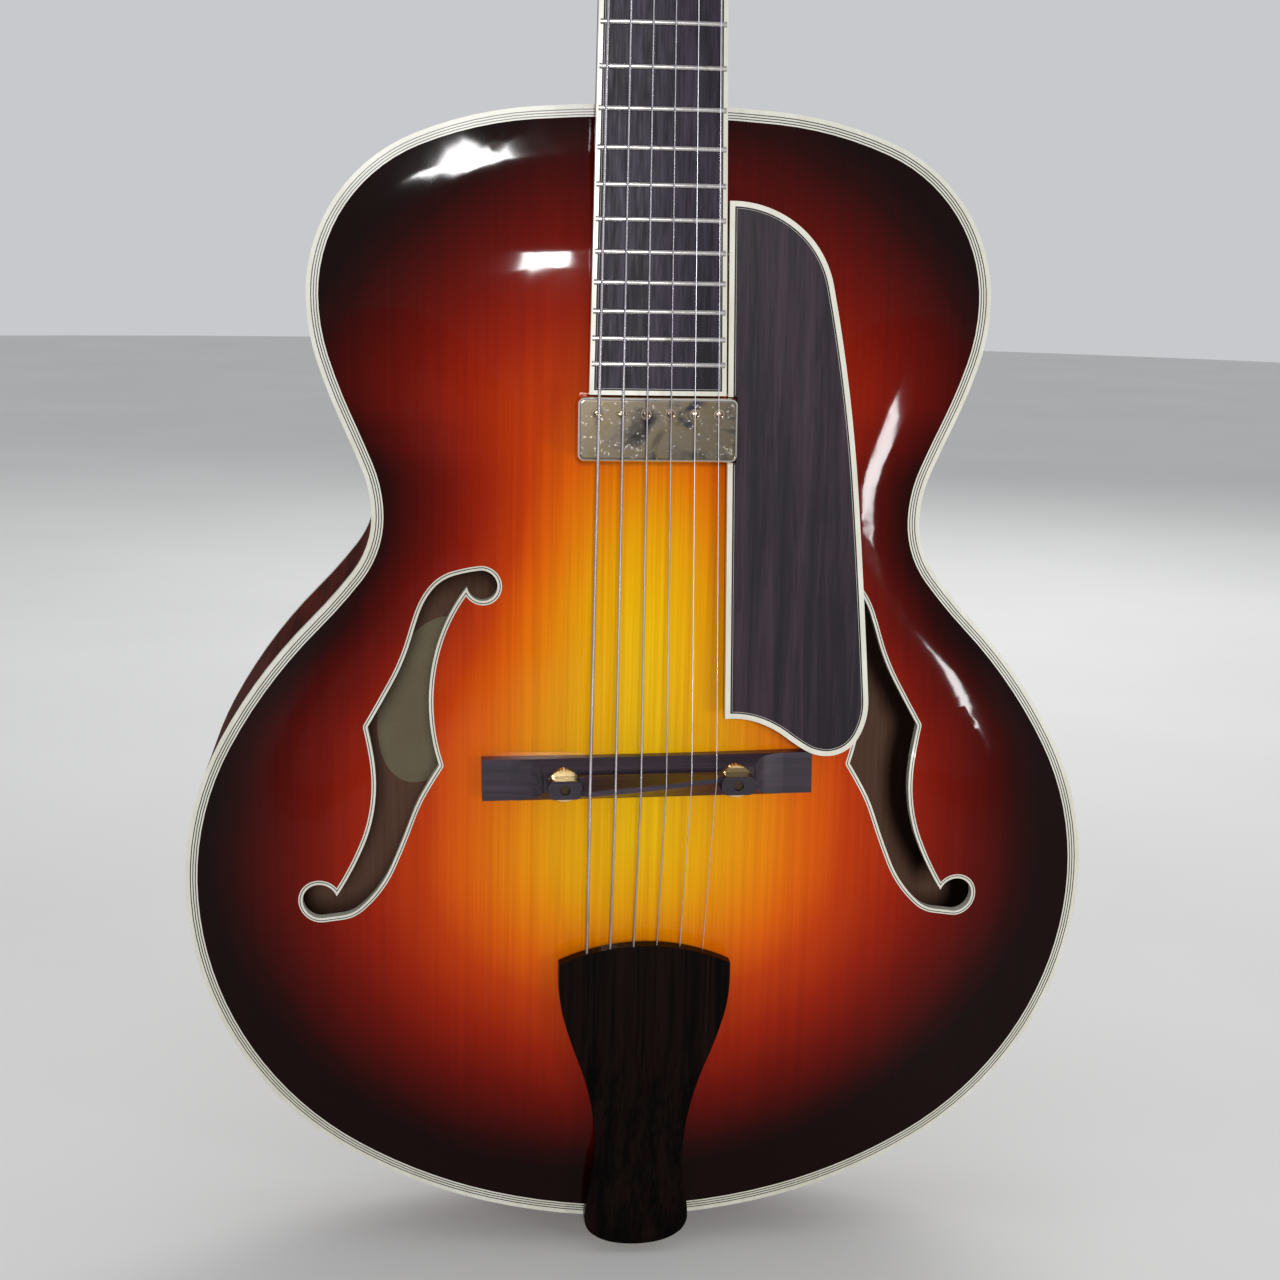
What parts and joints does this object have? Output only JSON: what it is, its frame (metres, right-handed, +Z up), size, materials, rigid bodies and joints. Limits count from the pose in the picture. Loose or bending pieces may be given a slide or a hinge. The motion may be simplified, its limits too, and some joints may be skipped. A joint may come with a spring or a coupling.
{
  "type": "archtop guitar",
  "caption": "Hollow archtop guitar with a carved sunburst front, f-shaped sound holes, floating pickup, height-adjustable bridge and geared tuners.",
  "frame": {"origin": "centre of the end-pin jack's mouth, the lowest point of the upright instrument", "axes": "+Z up the neck, front towards -Y, +X towards the treble side as seen from the front"},
  "size_m": [0.406, 0.1461, 1.0326],
  "materials": {
    "spruce_top": "gloss lacquer, sunburst",
    "maple": "gloss lacquer, red-brown",
    "inner_wood": "raw",
    "neck_wood": "gloss lacquer, red-brown",
    "ebony": "satin",
    "ivoroid": "gloss, aged cream",
    "black_trim": "gloss",
    "paper": "blank paper",
    "bone": "satin bone",
    "nickel": "polished nickel",
    "worn_gold": "polished, worn plating",
    "brass": "polished",
    "steel": "bright wire"
  },
  "bodies": {
    "guitar": {"top_plate": "spruce_top", "back_plate": "maple", "rib_bass": "maple", "rib_treble": "maple", "neck_block": "inner_wood", "tail_block": "inner_wood", "top_lining": "inner_wood", "back_lining": "inner_wood", "tone_bars": "inner_wood", "top_binding": "ivoroid", "top_purfling_black": "black_trim", "top_purfling_white": "ivoroid", "back_binding": "ivoroid", "f_hole_binding": "ivoroid", "f_hole_purfling": "black_trim", "paper_label": "paper", "neck": "neck_wood", "heel_cap": "black_trim", "fingerboard": "ebony", "fingerboard_binding": "ivoroid", "frets": "nickel", "nut": "bone", "headstock_veneer": "ebony", "truss_rod": "steel", "truss_rod_nut": "brass", "truss_rod_cover": "black_trim", "small_screws": "nickel", "tuner_housings": "nickel", "tuner_bushings": "nickel", "pickguard": "ebony", "pickguard_binding": "ivoroid", "pickguard_supports": "ebony", "pickup_cover": "worn_gold", "pickup_coils": "black_trim", "pickup_baseplate": "nickel", "pickup_pole_screws": "worn_gold", "pickup_bracket": "ebony", "bridge_base": "ebony", "bridge_studs": "brass", "tailpiece": "ebony", "tailpiece_hanger": "brass", "end_pin_jack": "nickel", "jack_nut": "nickel", "strings_wound": "steel", "strings_plain": "steel"},
    "saddle": {"bridge_saddle": "ebony"},
    "thumbwheel_bass": {"thumbwheel_bass": "brass"},
    "thumbwheel_treble": {"thumbwheel_treble": "brass"},
    "tuner_key_1": {"tuner_key_1": "nickel"},
    "string_post_1": {"string_post_1": "nickel"},
    "tuner_key_2": {"tuner_key_2": "nickel"},
    "string_post_2": {"string_post_2": "nickel"},
    "tuner_key_3": {"tuner_key_3": "nickel"},
    "string_post_3": {"string_post_3": "nickel"},
    "tuner_key_4": {"tuner_key_4": "nickel"},
    "string_post_4": {"string_post_4": "nickel"},
    "tuner_key_5": {"tuner_key_5": "nickel"},
    "string_post_5": {"string_post_5": "nickel"},
    "tuner_key_6": {"tuner_key_6": "nickel"},
    "string_post_6": {"string_post_6": "nickel"}
  },
  "joints": [
    {"name": "saddle_height", "type": "slide", "parent": "guitar", "child": "saddle", "axis": [0, -1, 0], "range_m": [-0.0021, 0.0035], "deforming": ["strings_wound", "strings_plain"]},
    {"name": "thumbwheel_bass_turn", "type": "hinge", "parent": "saddle", "child": "thumbwheel_bass", "pos_m": [-0.03749, -0.0735, 0.23121], "axis": [0, -1, 0], "range_deg": [-1080, 1800]},
    {"name": "thumbwheel_treble_turn", "type": "hinge", "parent": "saddle", "child": "thumbwheel_treble", "pos_m": [0.03749, -0.0735, 0.23279], "axis": [0, -1, 0], "range_deg": [-1080, 1800]},
    {"name": "tuner_key_1_turn", "type": "hinge", "parent": "guitar", "child": "tuner_key_1", "pos_m": [-0.024, 0.00397, 0.91184], "axis": [-1, 0, 0], "continuous": true},
    {"name": "string_post_1_turn", "type": "hinge", "parent": "guitar", "child": "string_post_1", "pos_m": [-0.024, -0.00451, 0.90632], "axis": [0, -0.9563, 0.2924], "continuous": true},
    {"name": "tuner_key_2_turn", "type": "hinge", "parent": "guitar", "child": "tuner_key_2", "pos_m": [-0.0255, 0.01625, 0.952], "axis": [-1, 0, 0], "continuous": true},
    {"name": "string_post_2_turn", "type": "hinge", "parent": "guitar", "child": "string_post_2", "pos_m": [-0.0255, 0.00777, 0.94649], "axis": [0, -0.9563, 0.2924], "continuous": true},
    {"name": "tuner_key_3_turn", "type": "hinge", "parent": "guitar", "child": "tuner_key_3", "pos_m": [-0.027, 0.02853, 0.99217], "axis": [-1, 0, 0], "continuous": true},
    {"name": "string_post_3_turn", "type": "hinge", "parent": "guitar", "child": "string_post_3", "pos_m": [-0.027, 0.02004, 0.98665], "axis": [0, -0.9563, 0.2924], "continuous": true},
    {"name": "tuner_key_4_turn", "type": "hinge", "parent": "guitar", "child": "tuner_key_4", "pos_m": [0.027, 0.02853, 0.99217], "axis": [1, 0, 0], "continuous": true},
    {"name": "string_post_4_turn", "type": "hinge", "parent": "guitar", "child": "string_post_4", "pos_m": [0.027, 0.02004, 0.98665], "axis": [0, -0.9563, 0.2924], "continuous": true},
    {"name": "tuner_key_5_turn", "type": "hinge", "parent": "guitar", "child": "tuner_key_5", "pos_m": [0.0255, 0.01625, 0.952], "axis": [1, 0, 0], "continuous": true},
    {"name": "string_post_5_turn", "type": "hinge", "parent": "guitar", "child": "string_post_5", "pos_m": [0.0255, 0.00777, 0.94649], "axis": [0, -0.9563, 0.2924], "continuous": true},
    {"name": "tuner_key_6_turn", "type": "hinge", "parent": "guitar", "child": "tuner_key_6", "pos_m": [0.024, 0.00397, 0.91184], "axis": [1, 0, 0], "continuous": true},
    {"name": "string_post_6_turn", "type": "hinge", "parent": "guitar", "child": "string_post_6", "pos_m": [0.024, -0.00451, 0.90632], "axis": [0, -0.9563, 0.2924], "continuous": true}
  ],
  "couplings": [
    {"joint": "thumbwheel_treble_turn", "follows": "thumbwheel_bass_turn", "ratio": 1},
    {"joint": "saddle_height", "follows": "thumbwheel_bass_turn", "m_per_rad": 0.00011141},
    {"joint": "string_post_1_turn", "follows": "tuner_key_1_turn", "ratio": 0.066667},
    {"joint": "string_post_2_turn", "follows": "tuner_key_2_turn", "ratio": 0.066667},
    {"joint": "string_post_3_turn", "follows": "tuner_key_3_turn", "ratio": 0.066667},
    {"joint": "string_post_4_turn", "follows": "tuner_key_4_turn", "ratio": 0.066667},
    {"joint": "string_post_5_turn", "follows": "tuner_key_5_turn", "ratio": 0.066667},
    {"joint": "string_post_6_turn", "follows": "tuner_key_6_turn", "ratio": 0.066667}
  ]
}
